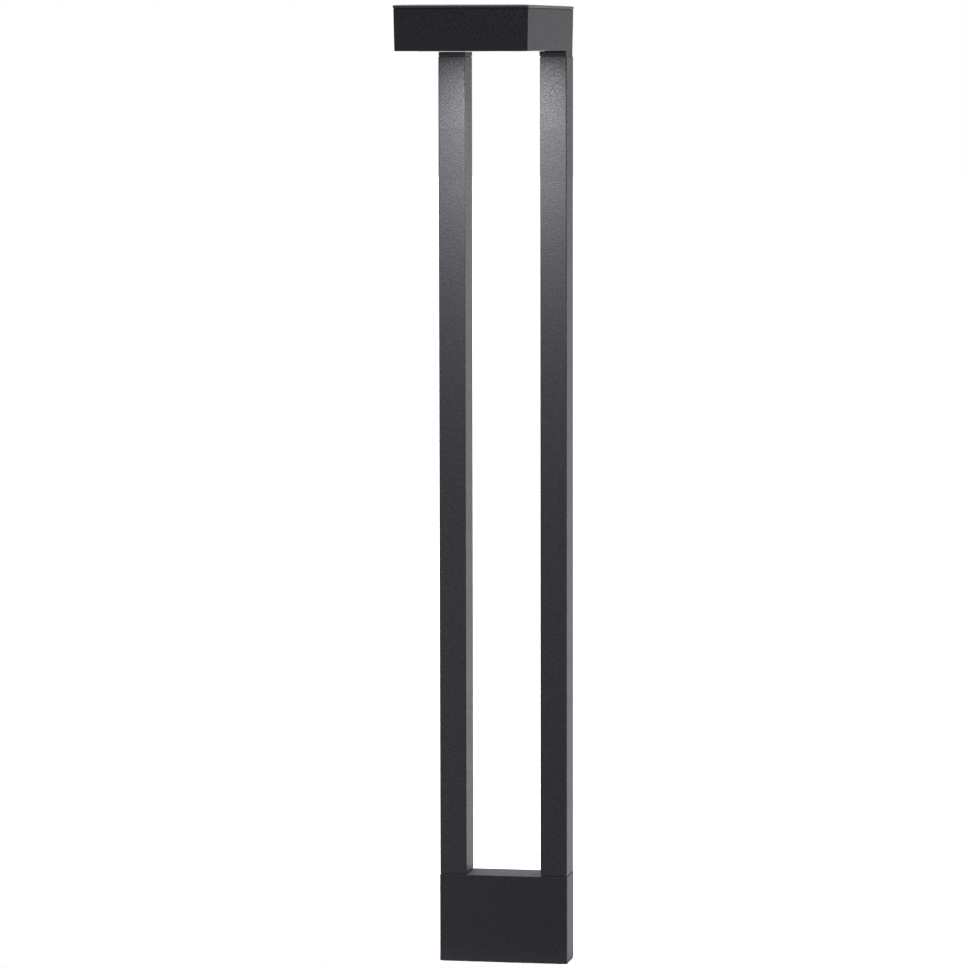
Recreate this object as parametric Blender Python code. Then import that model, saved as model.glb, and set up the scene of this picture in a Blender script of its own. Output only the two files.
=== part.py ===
"""Path bollard light: a flat lamp head carried on two slim posts above a low plinth.

Units are metres.  The origin is the centre of the plinth's underside, +Z is up,
X runs across the two posts and the lamp head reaches out towards -Y.
"""
import math

import bpy
from mathutils import Matrix, Vector

# ----------------------------------------------------------------- driving dimensions
TOTAL_HEIGHT = 1.000
WIDTH = 0.135                # across both posts
BASE_WIDTH = 0.1355
HEAD_WIDTH = 0.1355          # at the rim, just under the cover
GAP = 0.0003                 # clearance left between neighbouring pieces

# plinth
BASE_DEPTH = 0.0445
BASE_HEIGHT = 0.0915
BASE_WALL = 0.004
BASE_TOP_WALL = 0.006
BASE_CORNER = 0.0014
BASE_EDGE = 0.0010

# anchor casting inside the plinth
PLATE_LENGTH = 0.126
PLATE_DEPTH = 0.0346
PLATE_THICK = 0.006
LUG_X = 0.052
LUG_WIDTH = 0.016
LUG_DEPTH = 0.024
LUG_TOP = 0.040
ANCHOR_HOLE_X = 0.036        # two anchor bolts, 72 mm apart
ANCHOR_HOLE_DIA = 0.009
ENTRY_X = 0.019              # two cable entries
ENTRY_DIA = 0.013
CLAMP_SCREW_Z = 0.026

# posts
POST_WIDTH = 0.0282
POST_DEPTH = 0.0430
POST_WALL = 0.003
POST_CORNER = 0.0015
POST_EASE = 0.0005           # bevel at the ends of posts and stubs
POST_X = WIDTH / 2 - POST_WIDTH / 2
SEAL_THICK = 0.0006
SEAL_INSET = 0.0010
ROD_DIA = 0.008
ROD_Y = 0.008                # tie rod, set back in the post
CABLE_Y = -0.009             # cable, in front of the tie rod
CABLE_HOLE_DIA = 0.010
CABLE_DIA = 0.007

# lamp head
HEAD_LENGTH = 0.2820
HEAD_HEIGHT = 0.0463         # cover included
HEAD_WALL = 0.004
HEAD_FLOOR = 0.003
HEAD_DRAFT = 0.00075         # each side, narrower at the bottom
HEAD_CORNER = 0.0016
HEAD_EDGE = 0.0010
STUB_HEIGHT = 0.0056
STUB_FRONT_STEP = 0.0010     # the stub stands this far in front of the post

COVER_THICK = 0.0036
COVER_OVERHANG = 0.0006
COVER_CROWN = 0.0010
GASKET_WIDTH = 0.0016
GASKET_GROOVE = 0.0022
GASKET_DEPTH = 0.0020

# light opening in the head's underside
WINDOW_WIDTH = 0.110
WINDOW_LENGTH = 0.125
LENS_WIDTH = 0.118           # across the flange that rests on the head's floor
LENS_LENGTH = 0.133
LENS_FLANGE = 0.002
LENS_PROUD = 0.0008          # the lens bulges this far below the head's underside
LENS_GASKET_THICK = 0.001
FRAME_LENGTH = 0.136
FRAME_OPENING_WIDTH = 0.104
FRAME_OPENING_LENGTH = 0.119
FRAME_THICK = 0.0025
LENS_SCREW_X = 0.026
LENS_SCREW_Y = 0.0725
SPREADER_WIDTH = 0.1236
SPREADER_LENGTH = 0.155
SPREADER_THICK = 0.003
SPREADER_Z = 0.9823
SPREADER_SCREW_X = 0.050
SPREADER_SCREW_Y = 0.0735
LEAD_X = 0.020
BOARD_WIDTH = 0.092
BOARD_LENGTH = 0.120
BOARD_THICK = 0.0016
LED_SIZE = 0.005
LED_THICK = 0.0009

# driver and wiring in the head
DRIVER_LENGTH = 0.096
DRIVER_DEPTH = 0.040
DRIVER_HEIGHT = 0.022
DRIVER_Y = -0.0425
DRIVER_EAR_X = 0.0535
DRIVER_EAR_TOP = 0.0075      # above the head's floor
TERMINAL_WIDTH = 0.036
TERMINAL_DEPTH = 0.016
TERMINAL_HEIGHT = 0.016
HEAD_CABLE_Z = 0.9680        # the cable turns from the post to the terminal block here
LEAD_DIA = 0.0036
LEAD_Z = 0.9905              # the LED lead crosses over the heat spreader here

# reflector between the lens frame and the circuit board
REFLECTOR_WIDTH = 0.1050     # its mouth, at the lens
REFLECTOR_LENGTH = 0.1200
REFLECTOR_TOP_WIDTH = 0.0760
REFLECTOR_TOP_LENGTH = 0.1100
REFLECTOR_WALL = 0.0012

# junction box in the plinth
JUNCTION_Z = 0.046
JUNCTION_WIDTH = 0.056
JUNCTION_DEPTH = 0.022
JUNCTION_HEIGHT = 0.022
JUNCTION_COVER_TOP = 0.027   # above the box's underside
CABLE_TURN_Z = 0.0700        # the cable turns up into the post here

# screws: shank, length, head, head height, socket
CLAMP_SCREW = (0.005, 0.015, 0.009, 0.0022, 0.003)
EARTH_SCREW = (0.004, 0.008, 0.008, 0.0035, 0.003)
COVER_SCREW = (0.004, 0.0370, 0.0076, 0.0035, 0.003)
LENS_SCREW = (0.003, 0.006, 0.0054, 0.0020, 0.002)
SPREADER_SCREW = (0.004, 0.012, 0.0070, 0.0030, 0.003)
DRIVER_SCREW = (0.003, 0.007, 0.0054, 0.0020, 0.002)
M3_BORE, M4_BORE, M5_BORE = 0.0036, 0.0046, 0.0056
CLAMP_SEAT_DIA = 0.0096
CLAMP_SEAT_DEPTH = 0.0027
COVER_SCREW_FRONT = (0.0560, -0.2485)
COVER_SCREW_REAR = (0.0280, 0.0100)
COVER_POCKET_DIA = 0.0084
COVER_POCKET_DEPTH = 0.0045

# bosses that stand on the head's floor
COVER_BOSS_DIA = 0.010
LENS_BOSS_DIA = 0.0066
SPREADER_BOSS_DIA = 0.0080
DRIVER_BOSS_DIA = 0.0076
DRIVER_BOSS_HEIGHT = 0.004
PILLAR_TOP = 0.9885          # the cover's own bosses meet the front and rear pillars here
BOSS_SINK = 0.0015           # a boss starts this far inside the floor

# nuts of the tie rods
NUT_COLLAR = 0.0165
NUT_FLATS = 0.013
NUT_HEIGHT = 0.0082
ROD_END = 0.012              # the rod passes each face by this much

OVER = 0.002                 # a cutter passes the face that it opens by this much

# ----------------------------------------------------------------- derived positions
POST_FRONT = -POST_DEPTH / 2
HEAD_BACK = POST_DEPTH / 2
HEAD_FRONT = HEAD_BACK - HEAD_LENGTH
HEAD_Y = (HEAD_BACK + HEAD_FRONT) / 2
HEAD_BOTTOM = TOTAL_HEIGHT - HEAD_HEIGHT
COVER_BOTTOM = TOTAL_HEIGHT - COVER_THICK
RIM_Z = COVER_BOTTOM - GAP
FLOOR_Z = HEAD_BOTTOM + HEAD_FLOOR
STUB_BOTTOM = HEAD_BOTTOM - STUB_HEIGHT
POST_BOTTOM = BASE_HEIGHT + 2 * GAP + SEAL_THICK
POST_TOP = STUB_BOTTOM - 2 * GAP - SEAL_THICK
WINDOW_Y = (POST_FRONT + HEAD_FRONT) / 2
LENS_Z = FLOOR_Z + 2 * GAP + LENS_GASKET_THICK
FRAME_Z = LENS_Z + LENS_FLANGE + GAP
BOARD_Z = SPREADER_Z - GAP - BOARD_THICK

# ----------------------------------------------------------------- start from nothing
for old in list(bpy.data.objects):
    bpy.data.objects.remove(old, do_unlink=True)

scene = bpy.context.scene
scene.unit_settings.system = "METRIC"
scene.unit_settings.scale_length = 1.0


def new_collection(name):
    coll = bpy.data.collections.new(name)
    scene.collection.children.link(coll)
    return coll


BOLLARD = new_collection("bollard_light")
TOOLS = new_collection("cutters")


def material(name, colour, metallic, roughness, transmission=0.0, glow=None):
    mat = bpy.data.materials.new(name)
    mat.use_nodes = True
    bsdf = mat.node_tree.nodes["Principled BSDF"]
    bsdf.inputs["Base Color"].default_value = (*colour, 1.0)
    bsdf.inputs["Metallic"].default_value = metallic
    bsdf.inputs["Roughness"].default_value = roughness
    bsdf.inputs["Transmission Weight"].default_value = transmission
    if glow:
        bsdf.inputs["Emission Color"].default_value = (*glow, 1.0)
        bsdf.inputs["Emission Strength"].default_value = 1.0
    mat.diffuse_color = (*colour, 1.0)
    return mat


GRAPHITE = material("graphite_powder_coat", (0.050, 0.050, 0.055), 0.0, 0.50)
CAST = material("bare_cast_aluminium", (0.60, 0.60, 0.60), 1.0, 0.45)
SHEET = material("milled_aluminium", (0.72, 0.72, 0.73), 1.0, 0.35)
STAINLESS = material("stainless_steel", (0.56, 0.56, 0.56), 1.0, 0.30)
RUBBER = material("black_rubber", (0.020, 0.020, 0.020), 0.0, 0.80)
OPAL = material("opal_lens", (0.90, 0.90, 0.88), 0.0, 0.35, 0.3, (1.0, 0.96, 0.90))
WHITE = material("white_reflector", (0.85, 0.85, 0.84), 0.0, 0.40)
BOARD = material("white_circuit_board", (0.80, 0.81, 0.80), 0.0, 0.45)
LED = material("led_phosphor", (0.90, 0.75, 0.25), 0.0, 0.40)
CASE = material("driver_case", (0.80, 0.80, 0.78), 0.0, 0.50)
TERMINAL = material("grey_terminal", (0.32, 0.33, 0.34), 0.0, 0.50)
SHEATH = material("cable_sheath", (0.030, 0.030, 0.032), 0.0, 0.60)


# ----------------------------------------------------------------- shape helpers
def rounded(width, depth, radius, steps=3, x=0.0, y=0.0):
    """Rounded rectangle, counter-clockwise from above, 4 * (steps + 1) points."""
    radius = max(radius, 0.0002)
    points = []
    for corner, (sx, sy) in enumerate(((1, -1), (1, 1), (-1, 1), (-1, -1))):
        cx = x + sx * (width / 2 - radius)
        cy = y + sy * (depth / 2 - radius)
        for step in range(steps + 1):
            angle = math.radians(-90 + 90 * corner + 90 * step / steps)
            points.append((cx + radius * math.cos(angle), cy + radius * math.sin(angle)))
    return points


def circle(diameter, count=24, x=0.0, y=0.0):
    return [(x + diameter / 2 * math.cos(2 * math.pi * i / count),
             y + diameter / 2 * math.sin(2 * math.pi * i / count)) for i in range(count)]


def hexagon(flats, count=24, x=0.0, y=0.0):
    """Hexagon sampled at the same angles as circle(), so the two can be lofted."""
    points = []
    for i in range(count):
        angle = 2 * math.pi * i / count
        local = (angle % (math.pi / 3)) - math.pi / 6
        r = flats / 2 / math.cos(local)
        points.append((x + r * math.cos(angle), y + r * math.sin(angle)))
    return points


def shell(loops, ring=False):
    """Vertices and faces of a solid whose surface runs through stacked outlines."""
    verts, faces = [], []
    count = len(loops[0][0])
    for outline, z in loops:
        verts.extend((px, py, z) for px, py in outline)
    rows = len(loops)
    for row in range(rows if ring else rows - 1):
        a, b = row * count, ((row + 1) % rows) * count
        for i in range(count):
            j = (i + 1) % count
            faces.append((a + i, a + j, b + j, b + i))
    if not ring:
        faces.append(tuple(range(count - 1, -1, -1)))
        faces.append(tuple(range((rows - 1) * count, rows * count)))
    return verts, faces


def join(*solids):
    verts, faces = [], []
    for v, f in solids:
        start = len(verts)
        verts.extend(v)
        faces.extend(tuple(i + start for i in face) for face in f)
    return verts, faces


def moved(solid, matrix):
    verts, faces = solid
    return [tuple(matrix @ Vector(v)) for v in verts], faces


def make(name, solid, mat, tool=False):
    verts, faces = solid
    mesh = bpy.data.meshes.new(name)
    mesh.from_pydata(verts, [], faces)
    mesh.validate()
    mesh.update()
    if mat:
        mesh.materials.append(mat)
    obj = bpy.data.objects.new(name, mesh)
    (TOOLS if tool else BOLLARD).objects.link(obj)
    if tool:
        obj.hide_render = True
        obj.display_type = "WIRE"
    return obj


def combine(obj, solid, operation, label):
    tool = make(f"{obj.name}_{label}", solid, None, tool=True)
    mod = obj.modifiers.new(label, "BOOLEAN")
    mod.operation = operation
    mod.solver = "EXACT"
    mod.object = tool


def cylinder(diameter, z0, z1, x=0.0, y=0.0, count=24):
    return shell([(circle(diameter, count, x, y), z0), (circle(diameter, count, x, y), z1)])


def block(width, depth, z0, z1, x=0.0, y=0.0, radius=0.0005, steps=2):
    outline = rounded(width, depth, radius, steps, x, y)
    return shell([(outline, z0), (outline, z1)])


def eased_block(width, depth, z0, z1, x=0.0, y=0.0, radius=0.001, ease=0.0004, steps=2):
    full = rounded(width, depth, radius, steps, x, y)
    small = rounded(width - 2 * ease, depth - 2 * ease, radius - ease, steps, x, y)
    return shell([(small, z0), (full, z0 + ease), (full, z1 - ease), (small, z1)])


def screw(shank, length, head, head_height, socket, count=18):
    """Socket screw along +Z: tip at -length, bearing face at 0, head above it."""
    ease = head * 0.06
    return shell([
        (circle(shank * 0.8, count), -length),
        (circle(shank, count), -length + shank * 0.15),
        (circle(shank, count), 0.0),
        (circle(head, count), 0.0),
        (circle(head, count), head_height - ease),
        (circle(head - 2 * ease, count), head_height),
        (hexagon(socket, count), head_height),
        (hexagon(socket, count), head_height * 0.40),
    ])


def at(x, y, z, flip=False, back=False):
    """Placement for a screw: heads up, or flip for heads down, or back for heads to +Y."""
    matrix = Matrix.Translation((x, y, z))
    if flip:
        matrix = matrix @ Matrix.Rotation(math.pi, 4, "X")
    if back:
        matrix = matrix @ Matrix.Rotation(-math.pi / 2, 4, "X")
    return matrix


def tube(path, diameter, count=10):
    """Round solid swept along a list of points."""
    points = [Vector(p) for p in path]
    verts, faces = [], []
    normal = None
    for i, point in enumerate(points):
        before = points[max(i - 1, 0)]
        after = points[min(i + 1, len(points) - 1)]
        tangent = (after - before).normalized()
        if normal is None:
            normal = tangent.orthogonal().normalized()
        normal = (normal - tangent * normal.dot(tangent)).normalized()
        side = tangent.cross(normal)
        for k in range(count):
            angle = 2 * math.pi * k / count
            verts.append(tuple(point + (normal * math.cos(angle) + side * math.sin(angle))
                               * diameter / 2))
    for i in range(len(points) - 1):
        for k in range(count):
            a, b = i * count, (i + 1) * count
            j = (k + 1) % count
            faces.append((a + k, a + j, b + j, b + k))
    faces.append(tuple(range(count - 1, -1, -1)))
    faces.append(tuple(range((len(points) - 1) * count, len(points) * count)))
    return verts, faces


def bent(points, bend, steps=5):
    """Polyline with every inner corner rounded by a quadratic bend."""
    points = [Vector(p) for p in points]
    path = [points[0]]
    for before, here, after in zip(points, points[1:], points[2:]):
        start = here + (before - here).normalized() * bend
        end = here + (after - here).normalized() * bend
        for step in range(steps + 1):
            t = step / steps
            path.append(start * (1 - t) ** 2 + here * 2 * t * (1 - t) + end * t ** 2)
    path.append(points[-1])
    return path


# ----------------------------------------------------------------- plinth
def base_outline(inset=0.0):
    return rounded(BASE_WIDTH - 2 * inset, BASE_DEPTH - 2 * inset, BASE_CORNER - inset)


base_inner = rounded(BASE_WIDTH - 2 * BASE_WALL, BASE_DEPTH - 2 * BASE_WALL, 0.003)
base_housing = make("base_housing", shell([
    (base_inner, BASE_HEIGHT - BASE_TOP_WALL),
    (base_inner, 0.0),
    (base_outline(0.0004), 0.0),
    (base_outline(), 0.0004),
    (base_outline(), BASE_HEIGHT - BASE_EDGE),
    (base_outline(BASE_EDGE * 0.3), BASE_HEIGHT - BASE_EDGE * 0.3),
    (base_outline(BASE_EDGE), BASE_HEIGHT),
]), GRAPHITE)
base_holes = [
    cylinder(ROD_DIA + 2 * GAP, BASE_HEIGHT - 0.010, BASE_HEIGHT + OVER, side * POST_X, ROD_Y)
    for side in (-1, 1)
]
base_holes.append(cylinder(CABLE_HOLE_DIA, BASE_HEIGHT - 0.010, BASE_HEIGHT + OVER, POST_X, CABLE_Y))
clamp_holes, clamp_seats = [], []
for side in (-1, 1):
    turned = at(side * LUG_X, BASE_DEPTH / 2, CLAMP_SCREW_Z, back=True)
    clamp_holes.append(moved(cylinder(M5_BORE, -0.010, GAP - CLAMP_SEAT_DEPTH), turned))
    clamp_seats.append(moved(cylinder(CLAMP_SEAT_DIA, -CLAMP_SEAT_DEPTH - GAP, OVER), turned))
combine(base_housing, join(*base_holes), "DIFFERENCE", "top_holes")
combine(base_housing, join(*clamp_holes), "DIFFERENCE", "clamp_holes")
combine(base_housing, join(*clamp_seats), "DIFFERENCE", "clamp_seats")

anchor_plate = make("anchor_plate", eased_block(
    PLATE_LENGTH, PLATE_DEPTH, 0.0, PLATE_THICK, radius=0.003, ease=0.0005), CAST)
combine(anchor_plate, join(*[
    block(LUG_WIDTH, LUG_DEPTH, 0.003, LUG_TOP, side * LUG_X, 0.0, 0.002) for side in (-1, 1)
]), "UNION", "lugs")
plate_holes = []
for side in (-1, 1):
    plate_holes.append(cylinder(ANCHOR_HOLE_DIA, -OVER, 0.010, side * ANCHOR_HOLE_X))
    plate_holes.append(cylinder(ENTRY_DIA, -OVER, 0.010, side * ENTRY_X))
    plate_holes.append(moved(cylinder(M5_BORE, -0.0300, 0.010), at(
        side * LUG_X, BASE_DEPTH / 2, CLAMP_SCREW_Z, back=True)))
plate_holes.append(cylinder(M4_BORE, LUG_TOP - 0.010, LUG_TOP + 0.010, -LUG_X))
combine(anchor_plate, join(*plate_holes), "DIFFERENCE", "holes")

for side, label in ((-1, "left"), (1, "right")):
    make(f"base_screw_{label}", moved(
        screw(*CLAMP_SCREW),
        at(side * LUG_X, BASE_DEPTH / 2 - CLAMP_SEAT_DEPTH, CLAMP_SCREW_Z, back=True)), STAINLESS)

make("earth_screw", moved(screw(*EARTH_SCREW),
                          at(-LUG_X, 0.0, LUG_TOP + GAP)), STAINLESS)

# cable entry: an open grommet on one side and a blanking plug on the other
make("entry_grommet", shell([
    (circle(CABLE_DIA + 2 * GAP, 20, ENTRY_X), 0.0005),
    (circle(ENTRY_DIA - 2 * GAP, 20, ENTRY_X), 0.0005),
    (circle(ENTRY_DIA - 2 * GAP, 20, ENTRY_X), PLATE_THICK + GAP),
    (circle(0.0170, 20, ENTRY_X), PLATE_THICK + GAP),
    (circle(0.0170, 20, ENTRY_X), PLATE_THICK + 0.0023),
    (circle(CABLE_DIA + 0.0030, 20, ENTRY_X), PLATE_THICK + 0.0050),
    (circle(CABLE_DIA + 2 * GAP, 20, ENTRY_X), PLATE_THICK + 0.0050),
], ring=True), RUBBER)
make("entry_plug", shell([
    (circle(ENTRY_DIA - 4 * GAP, 20, -ENTRY_X), 0.0005),
    (circle(ENTRY_DIA - 2 * GAP, 20, -ENTRY_X), 0.0015),
    (circle(ENTRY_DIA - 2 * GAP, 20, -ENTRY_X), PLATE_THICK + GAP),
    (circle(0.0170, 20, -ENTRY_X), PLATE_THICK + GAP),
    (circle(0.0170, 20, -ENTRY_X), PLATE_THICK + 0.0018),
    (circle(0.0150, 20, -ENTRY_X), PLATE_THICK + 0.0023),
]), RUBBER)

# junction box standing between the lugs, with its own cover
make("junction_box", eased_block(JUNCTION_WIDTH, JUNCTION_DEPTH, JUNCTION_Z, JUNCTION_Z + JUNCTION_HEIGHT,
                                 radius=0.002, ease=0.0006), TERMINAL)
make("junction_cover", eased_block(JUNCTION_WIDTH + 0.002, JUNCTION_DEPTH + 0.002,
                                   JUNCTION_Z + JUNCTION_HEIGHT + GAP, JUNCTION_Z + JUNCTION_COVER_TOP,
                                   radius=0.0025, ease=0.0006), TERMINAL)

# ----------------------------------------------------------------- posts, seals, tie rods
for side, label in ((-1, "left"), (1, "right")):
    x = side * POST_X

    def post_outline(inset, radius=None):
        return rounded(POST_WIDTH - 2 * inset, POST_DEPTH - 2 * inset,
                       POST_CORNER - inset if radius is None else radius, 3, x)

    inner = post_outline(POST_WALL, 0.001)
    make(f"post_{label}", shell([
        (inner, POST_BOTTOM),
        (post_outline(POST_EASE), POST_BOTTOM),
        (post_outline(0.0), POST_BOTTOM + POST_EASE),
        (post_outline(0.0), POST_TOP - POST_EASE),
        (post_outline(POST_EASE), POST_TOP),
        (inner, POST_TOP),
    ], ring=True), GRAPHITE)

    for level, z in (("lower", BASE_HEIGHT + GAP), ("upper", POST_TOP + GAP)):
        ring = [(post_outline(POST_WALL, 0.001), z), (post_outline(SEAL_INSET), z),
                (post_outline(SEAL_INSET), z + SEAL_THICK), (post_outline(POST_WALL, 0.001), z + SEAL_THICK)]
        make(f"post_seal_{level}_{label}", shell(ring, ring=True), RUBBER)

    rod_bottom, rod_top = BASE_HEIGHT - BASE_TOP_WALL - ROD_END, FLOOR_Z + ROD_END
    make(f"tie_rod_{label}", shell([
        (circle(ROD_DIA * 0.8, 16, x, ROD_Y), rod_bottom),
        (circle(ROD_DIA, 16, x, ROD_Y), rod_bottom + 0.001),
        (circle(ROD_DIA, 16, x, ROD_Y), rod_top - 0.001),
        (circle(ROD_DIA * 0.8, 16, x, ROD_Y), rod_top),
    ]), STAINLESS)

    bore = circle(ROD_DIA + 2 * GAP, 24, x, ROD_Y)
    for level, face, way in (("lower", BASE_HEIGHT - BASE_TOP_WALL - GAP, -1), ("upper", FLOOR_Z + GAP, 1)):
        loops = [
            (bore, face),
            (circle(NUT_COLLAR, 24, x, ROD_Y), face),
            (circle(NUT_COLLAR, 24, x, ROD_Y), face + way * 0.0012),
            (hexagon(NUT_FLATS, 24, x, ROD_Y), face + way * 0.0020),
            (hexagon(NUT_FLATS, 24, x, ROD_Y), face + way * (NUT_HEIGHT - 0.0004)),
            (bore, face + way * NUT_HEIGHT),
        ]
        if way < 0:
            loops.reverse()
        make(f"tie_nut_{level}_{label}", shell(loops, ring=True), STAINLESS)

# ----------------------------------------------------------------- lamp head housing
def head_outline(inset, radius=None):
    return rounded(HEAD_WIDTH - 2 * inset, HEAD_LENGTH - 2 * inset,
                   HEAD_CORNER if radius is None else radius, 3, 0.0, HEAD_Y)


def window_outline(width, length, radius):
    return rounded(width, length, radius, 3, 0.0, WINDOW_Y)


rim_inner = HEAD_WALL + 0.0014                      # the rim is a little thicker than the wall
land = (rim_inner - GASKET_GROOVE) / 2              # rim each side of the seal groove
head_housing = make("head_housing", shell([
    (window_outline(WINDOW_WIDTH, WINDOW_LENGTH, 0.003), HEAD_BOTTOM + 0.0005),
    (window_outline(WINDOW_WIDTH + 0.001, WINDOW_LENGTH + 0.001, 0.0035), HEAD_BOTTOM),
    (head_outline(HEAD_DRAFT + HEAD_EDGE), HEAD_BOTTOM),
    (head_outline(HEAD_DRAFT + HEAD_EDGE * 0.3), HEAD_BOTTOM + HEAD_EDGE * 0.3),
    (head_outline(HEAD_DRAFT), HEAD_BOTTOM + HEAD_EDGE),
    (head_outline(0.0), RIM_Z - HEAD_EDGE),
    (head_outline(HEAD_EDGE * 0.3), RIM_Z - HEAD_EDGE * 0.3),
    (head_outline(HEAD_EDGE), RIM_Z),
    (head_outline(land + 0.0003), RIM_Z),
    (head_outline(land + 0.0003), RIM_Z - GASKET_DEPTH),
    (head_outline(land + 0.0003 + GASKET_GROOVE), RIM_Z - GASKET_DEPTH),
    (head_outline(land + 0.0003 + GASKET_GROOVE), RIM_Z),
    (head_outline(rim_inner, 0.002), RIM_Z),
    (head_outline(rim_inner, 0.002), RIM_Z - 0.005),
    (head_outline(HEAD_WALL + HEAD_DRAFT / 2, 0.002), RIM_Z - 0.008),
    (head_outline(HEAD_WALL + HEAD_DRAFT, 0.002), FLOOR_Z),
    (window_outline(WINDOW_WIDTH, WINDOW_LENGTH, 0.003), FLOOR_Z),
], ring=True), GRAPHITE)

cover_screws = [(sx * px, py) for px, py in (COVER_SCREW_FRONT, COVER_SCREW_REAR) for sx in (-1, 1)]
lens_screws = [(sx * LENS_SCREW_X, WINDOW_Y + sy * LENS_SCREW_Y) for sy in (-1, 1) for sx in (-1, 1)]
spreader_screws = [(sx * SPREADER_SCREW_X, WINDOW_Y + sy * SPREADER_SCREW_Y) for sy in (-1, 1) for sx in (-1, 1)]
driver_screws = [(sx * DRIVER_EAR_X, DRIVER_Y) for sx in (-1, 1)]
boss_root = FLOOR_Z - BOSS_SINK
driver_boss_top = FLOOR_Z + DRIVER_BOSS_HEIGHT

bosses = [cylinder(COVER_BOSS_DIA, boss_root, PILLAR_TOP, px, py) for px, py in cover_screws]
bosses += [cylinder(LENS_BOSS_DIA, boss_root, FRAME_Z - GAP, px, py, 20) for px, py in lens_screws]
bosses += [cylinder(SPREADER_BOSS_DIA, boss_root, SPREADER_Z - GAP, px, py, 20) for px, py in spreader_screws]
bosses += [cylinder(DRIVER_BOSS_DIA, boss_root, driver_boss_top, px, py, 20) for px, py in driver_screws]
combine(head_housing, join(*bosses), "UNION", "bosses")

stub_outer = HEAD_WIDTH / 2 - HEAD_DRAFT - 0.00005
stub_inner = POST_X - POST_WIDTH / 2 - 0.0003
stub_back = HEAD_BACK - HEAD_DRAFT - 0.00005
stub_front = POST_FRONT - STUB_FRONT_STEP
stub_width, stub_depth, stub_y = stub_outer - stub_inner, stub_back - stub_front, (stub_back + stub_front) / 2
stubs = []
for side in (-1, 1):
    stub_x = side * (stub_outer + stub_inner) / 2
    full = rounded(stub_width, stub_depth, POST_CORNER, 3, stub_x, stub_y)
    small = rounded(stub_width - 2 * POST_EASE, stub_depth - 2 * POST_EASE, POST_CORNER - POST_EASE, 3,
                    stub_x, stub_y)
    stubs.append(shell([(small, STUB_BOTTOM), (full, STUB_BOTTOM + POST_EASE), (full, HEAD_BOTTOM + OVER)]))
combine(head_housing, join(*stubs), "UNION", "stubs")

bores = []
for px, py in cover_screws:
    bores.append(cylinder(M4_BORE, HEAD_BOTTOM - OVER, PILLAR_TOP + OVER, px, py, 18))
for px, py in lens_screws:
    bores.append(cylinder(M3_BORE, FLOOR_Z, FRAME_Z + OVER, px, py, 18))
for px, py in spreader_screws:
    bores.append(cylinder(M4_BORE, SPREADER_Z - SPREADER_SCREW[1] - OVER, SPREADER_Z + OVER, px, py, 18))
for px, py in driver_screws:
    bores.append(cylinder(M3_BORE, FLOOR_Z - 0.001, driver_boss_top + OVER, px, py, 18))
for side in (-1, 1):
    bores.append(cylinder(ROD_DIA + 2 * GAP, STUB_BOTTOM - OVER, FLOOR_Z + OVER, side * POST_X, ROD_Y))
bores.append(cylinder(CABLE_HOLE_DIA, STUB_BOTTOM - OVER, FLOOR_Z + OVER, POST_X, CABLE_Y))
combine(head_housing, join(*bores), "DIFFERENCE", "bores")
combine(head_housing, join(*[
    cylinder(COVER_POCKET_DIA, HEAD_BOTTOM - OVER, HEAD_BOTTOM + COVER_POCKET_DEPTH, px, py)
    for px, py in cover_screws
]), "DIFFERENCE", "screw_pockets")

make("cover_gasket", shell([
    (head_outline(land + 0.0006), RIM_Z - GASKET_DEPTH + GAP),
    (head_outline(land + 0.0006), RIM_Z - 0.0001),
    (head_outline(land + GASKET_GROOVE), RIM_Z - 0.0001),
    (head_outline(land + GASKET_GROOVE), RIM_Z - GASKET_DEPTH + GAP),
], ring=True), RUBBER)

# ----------------------------------------------------------------- crowned top cover
def cover_outline(inset, radius=None):
    return head_outline(inset - COVER_OVERHANG, max(HEAD_CORNER + COVER_OVERHANG - inset, 0.0006)
                        if radius is None else radius)


top_cover = make("top_cover", shell([
    (cover_outline(0.0005), COVER_BOTTOM),
    (cover_outline(0.0), COVER_BOTTOM + 0.0005),
    (cover_outline(0.0), TOTAL_HEIGHT - COVER_CROWN - 0.0008),
    (cover_outline(0.0003), TOTAL_HEIGHT - COVER_CROWN - 0.0003),
    (cover_outline(0.0010), TOTAL_HEIGHT - COVER_CROWN),
    (cover_outline(0.010, 0.002), TOTAL_HEIGHT - COVER_CROWN * 0.55),
    (cover_outline(0.025, 0.004), TOTAL_HEIGHT - COVER_CROWN * 0.22),
    (cover_outline(0.045, 0.006), TOTAL_HEIGHT - COVER_CROWN * 0.04),
    (cover_outline(0.058, 0.004), TOTAL_HEIGHT),
]), GRAPHITE)
combine(top_cover, join(*[
    cylinder(0.0096, PILLAR_TOP + GAP, COVER_BOTTOM + 0.001, px, py) for px, py in cover_screws
]), "UNION", "bosses")
combine(top_cover, join(*[
    cylinder(M4_BORE, PILLAR_TOP - OVER, COVER_BOTTOM + 0.0008, px, py, 18) for px, py in cover_screws
]), "DIFFERENCE", "bores")
cover_labels = ("front_left", "front_right", "rear_left", "rear_right")
for (px, py), label in zip(cover_screws, cover_labels):
    make(f"cover_screw_{label}", moved(screw(*COVER_SCREW),
                                       at(px, py, HEAD_BOTTOM + COVER_POCKET_DEPTH - GAP, flip=True)), STAINLESS)

# ----------------------------------------------------------------- light opening
gasket_outer = window_outline(LENS_WIDTH - 0.0006, LENS_LENGTH - 0.0006, 0.004)
gasket_inner = window_outline(WINDOW_WIDTH + 0.0012, WINDOW_LENGTH + 0.0012, 0.0036)
make("lens_gasket", shell([
    (gasket_inner, FLOOR_Z + GAP), (gasket_outer, FLOOR_Z + GAP),
    (gasket_outer, FLOOR_Z + GAP + LENS_GASKET_THICK), (gasket_inner, FLOOR_Z + GAP + LENS_GASKET_THICK),
], ring=True), RUBBER)


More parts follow.
